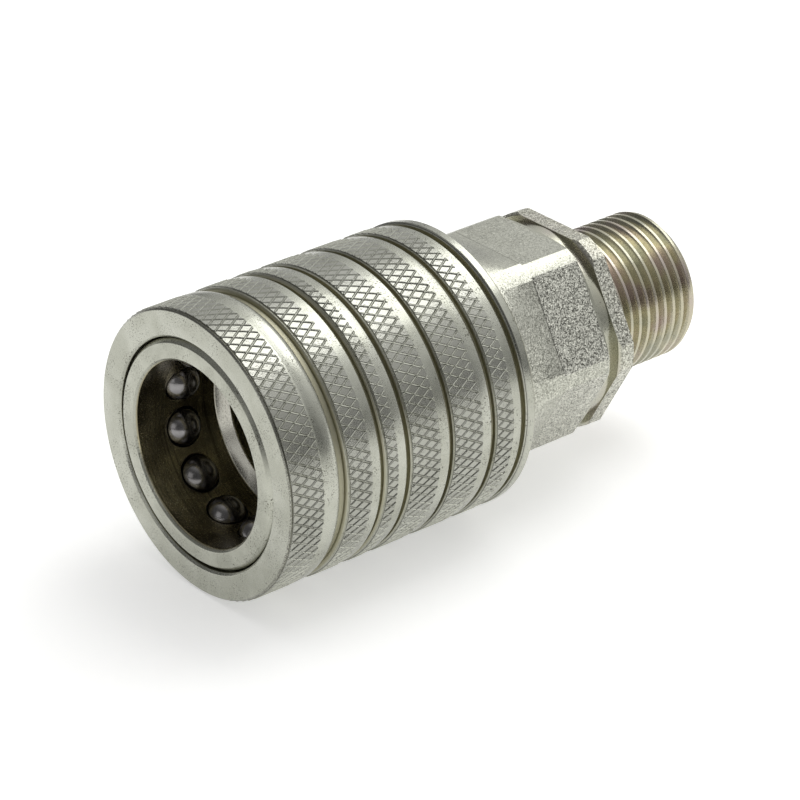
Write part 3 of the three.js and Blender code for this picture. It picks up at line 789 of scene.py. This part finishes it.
poppet = [(14.9, 0), (14.9, 5.2, 0.15), (15.3, 5.6, 0.15), (19.4, 5.6, 0.3), (20.8, 7.776, 0.1),
          (21.3, 8.276, 0.05), (21.3, 7.55), (22.9, 7.55), (22.9, 9.6, 0.12), (24.4, 9.6, 0.2),
          (24.4, 4.6, 0.15), (25.8, 4.6, 0.2), (25.8, 2.5, 0.1), (41.6, 2.5, 0.1),
          (42, 2.1, 0.1), (42, 0)]
bm = bmesh.new()
turn(bm, poppet, 96, closed=False)
tidy(bm)
addPiece(bm, "turnedPoppet", "poppet", "poppet_steel", ["valve_poppet"])

# springs
springs = {
    "sleeve": {"front": 12.2, "rear": 28.9, "orbit": 15.65, "wire": 1.6, "coils": 6.5},
    "poppet": {"front": 24.7, "rear": 37.8, "orbit": 6.2, "wire": 1.3, "coils": 5},
}


def coilSpring(s):
    # a round wire spun along a helix in three runs: closed end coil, open coils, closed end coil
    bm = bmesh.new()
    perTurn = 48
    closedRise = s["wire"] + 0.1
    openRise = (s["rear"] - s["front"] - s["wire"] - 2 * closedRise) / (s["coils"] - 2)
    wire = bmesh.ops.create_circle(bm, segments=14, radius=s["wire"] / 2 * mm, cap_ends=True)
    bmesh.ops.rotate(bm, verts=wire["verts"], cent=origin,
                     matrix=Matrix.Rotation(math.pi / 2, 3, "X"))
    bmesh.ops.translate(bm, verts=wire["verts"],
                        vec=(stationX(s["front"] + s["wire"] / 2), 0, s["orbit"] * mm))
    run = whole(bm)
    for turns, rise in ((1, closedRise), (s["coils"] - 2, openRise), (1, closedRise)):
        steps = round(perTurn * turns)
        made = bmesh.ops.spin(bm, geom=run, cent=origin, axis=axis, angle=2 * math.pi * turns,
                              steps=steps, dvec=(rise * turns * mm / steps, 0, 0))
        run = made["geom_last"]
    bmesh.ops.recalc_face_normals(bm, faces=bm.faces)
    return bm


sleeveSpring = addPiece(coilSpring(springs["sleeve"]), "sleeveReturnSpring", "valve_body",
                        "spring_steel", ["sleeve_spring"], 50)
poppetSpring = addPiece(coilSpring(springs["poppet"]), "poppetReturnSpring", "valve_body",
                        "spring_steel", ["poppet_spring"], 50)
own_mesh(sleeveSpring)
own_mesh(poppetSpring)
print("valve and springs done")

# hex adapter
adapter = {
    "bar": 15.0,
    "acrossFlats": 27.0,
    "barFront": 33.9,
    # spigot and bore, from the thread's end forward to the bar's front face
    "inside": [(76.0, 7.15, 0.06), (70.7, 6.0), (69.0, 6.0), (69.0, 5.0, 0.1), (41.0, 5.0, 0.1),
               (41.0, 10.2), (25.4, 10.2, 0.1), (25.4, 11.8, 0.1), (25.9, 12.3, 0.1),
               (33.9, 12.3)],
    "rampFront": 40.6,        # the bar starts to sink towards each flat
    "rampSteps": 9,
    "flatFront": 47.5,
    "flatStep": 0.14,         # tool mark where each flat starts
    "flatRear": 55.3,
    "neckFront": 55.9,
    "neck": 13.4,
    "collarFront": 57.5,
    "collarRear": 59.8,
    "collarFace": 14.3,
    "collarCorner": 14.7,
    "collarCone": 0.4,
    "collarInner": 8.7,       # its rear face goes down under the thread
    "threadTop": 9.9,
    "threadDepth": 0.80,
    "pitch": 1.5,
    "crest": 0.42,
    "valley": 0.18,
    "threadEdge": 0.05,
    "threadTurns": 13,
    "threadLead": 1.4,        # pitches spun in front of the collar's rear face
    "leadIn": 0.9,            # lead-in chamfer at the end
    "end": 76.0,
    "steps": 144,
}


def hexSlice(outline, station, high, slope=0.0):
    # a turned slice with a flat cut on each of six sides, through this station and height
    bm = bmesh.new()
    turn(bm, [(outline[0][0], 0)] + outline + [(outline[-1][0], 0)], adapter["steps"], closed=False)
    tidy(bm)
    for i in range(6):
        spin = Matrix.Rotation(i * math.pi / 3, 3, "X")
        place = spin @ Vector((stationX(station), 0, high * mm))
        out = (spin @ Vector((slope, 0, 1))).normalized()
        made = bmesh.ops.bisect_plane(bm, geom=whole(bm), dist=1e-7, plane_co=place,
                                      plane_no=out, clear_outer=True)
        rim = [e for e in made["geom_cut"] if isinstance(e, bmesh.types.BMEdge)]
        if rim:
            bmesh.ops.edgeloop_fill(bm, edges=rim)
    return bm


def openEnd(bm, station):
    x = stationX(station)
    caps = [f for f in bm.faces if all(abs(v.co.x - x) < 1e-6 for v in f.verts)]
    bmesh.ops.delete(bm, geom=caps, context="FACES")


def addChunk(bm, chunk, openings):
    for station in openings:
        openEnd(chunk, station)
    join(bm, chunk)


def threadShell(bm):
    # one pitch of the thread's outline, spun along the right-hand helix, cut at both ends
    a = adapter
    shell = bmesh.new()
    top, root, pitch = a["threadTop"], a["threadTop"] - a["threadDepth"], a["pitch"]
    crest, valley = a["crest"], a["valley"]
    flank = (pitch - crest - valley) / 2
    start = a["collarRear"] - a["threadLead"] * pitch
    outline = [(0, root), (valley / 2, root), (valley / 2 + flank, top),
               (valley / 2 + flank + crest, top), (pitch - valley / 2, root), (pitch, root)]
    verts = [shell.verts.new((stationX(start + x), 0, r * mm)) for x, r in outline]
    for pair in zip(verts, verts[1:]):
        shell.edges.new(pair)
    corners = verts[1:-1]
    bmesh.ops.bevel(shell, geom=corners, offset=a["threadEdge"] * mm, affect="VERTICES",
                    segments=2, profile=0.5, material=-1)
    perTurn = 96
    bmesh.ops.spin(shell, geom=shell.verts[:] + shell.edges[:], cent=origin, axis=axis,
                   angle=-2 * math.pi * a["threadTurns"], steps=perTurn * a["threadTurns"],
                   dvec=(pitch * mm / perTurn, 0, 0))
    bmesh.ops.remove_doubles(shell, verts=shell.verts, dist=2e-6)
    for station, side in ((a["collarRear"] - 0.1, -1), (a["end"], 1)):
        bmesh.ops.bisect_plane(shell, geom=whole(shell), dist=1e-7,
                               plane_co=(stationX(station), 0, 0), plane_no=(side, 0, 0),
                               clear_outer=True)
    # lead-in chamfer: nothing stands above a cone at the end
    for v in shell.verts:
        r = math.hypot(v.co.y, v.co.z) / mm
        limit = top - max(0, (v.co.x - stationX(a["end"] - a["leadIn"])) / mm)
        if r > limit:
            v.co.y *= limit / r
            v.co.z *= limit / r
    join(bm, shell)


def hexAdapter():
    a = adapter
    bar, flat, step = a["bar"], a["acrossFlats"] / 2, a["flatStep"]
    marked = a["flatFront"] + step
    bm = bmesh.new()
    slices = [
        ([(a["flatFront"], bar), (marked, bar)], marked, flat, 1.0),
        ([(marked, bar), (a["flatRear"], bar), (a["neckFront"], a["neck"])], marked, flat, 0.0),
        ([(a["collarFront"], a["collarFace"]),
          (a["collarFront"] + a["collarCone"], a["collarCorner"]),
          (a["collarRear"], a["collarCorner"])], a["collarFront"], flat, 0.0),
    ]
    for outline, station, high, lean in slices:
        addChunk(bm, hexSlice(outline, station, high, lean), [outline[0][0], outline[-1][0]])
    bmesh.ops.remove_doubles(bm, verts=bm.verts, dist=3e-6)
    around = a["steps"]
    # from the front of the flats the section swells forward to the full round bar
    rim = loopAt(bm, a["flatFront"])
    chords = [e for e in rim if e.calc_length() > 3 * mm]
    bmesh.ops.subdivide_edges(bm, edges=chords, cuts=21)
    rim, gap = loopAt(bm, a["flatFront"]), 1.0
    for i in range(a["rampSteps"] + 1):
        share = min(1, (i + 1) / a["rampSteps"])
        left = 1 - share * share * (3 - 2 * share)
        station = a["flatFront"] + (a["rampFront"] - a["flatFront"]) * share
        if i == a["rampSteps"]:
            left, station = 0, a["barFront"]
        made = bmesh.ops.extrude_edge_only(bm, edges=rim)["geom"]
        rim = [e for e in made if isinstance(e, bmesh.types.BMEdge)]
        for v in {v for e in rim for v in e.verts}:
            r = math.hypot(v.co.y, v.co.z) / mm
            grown = bar - (bar - r) * (left / gap if gap else 0)
            v.co = (stationX(station), v.co.y * grown / r, v.co.z * grown / r)
        gap = left
    # turned neck between the flats and the thin hex collar
    turn(bm, [(a["neckFront"], a["neck"]), (a["collarFront"] - 0.2, a["neck"], 0.1),
              (a["collarFront"], a["neck"])], around, closed=False)
    bmesh.ops.remove_doubles(bm, verts=bm.verts, dist=3e-6)
    bmesh.ops.triangle_fill(bm, use_beauty=True, edges=loopAt(bm, a["collarFront"]))
    threadShell(bm)
    turn(bm, a["inside"], around, closed=False)
    for station, low, high in ((a["barFront"], 12, 16), (a["end"], 6.5, 11)):
        bmesh.ops.triangle_fill(bm, use_beauty=True, edges=loopAt(bm, station, low, high))
    # rear face of the collar, down under the thread
    face = loopAt(bm, a["collarRear"], 12, 16)
    made = bmesh.ops.extrude_edge_only(bm, edges=face)["geom"]
    for v in made:
        if isinstance(v, bmesh.types.BMVert):
            r = math.hypot(v.co.y, v.co.z) / mm
            v.co.y *= a["collarInner"] / r
            v.co.z *= a["collarInner"] / r
    bmesh.ops.remove_doubles(bm, verts=bm.verts, dist=1.5e-6)
    bmesh.ops.recalc_face_normals(bm, faces=bm.faces)
    return bm


addPiece(hexAdapter(), "hexAdapter", "valve_body", "adapter_steel", ["hex_adapter"], 16)

# the stem guide is carried over from the frame as it is
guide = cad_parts["poppet_guide"]
guide.data.materials.clear()
guide.data.materials.append(finishes["poppet_steel"])
print("adapter done")
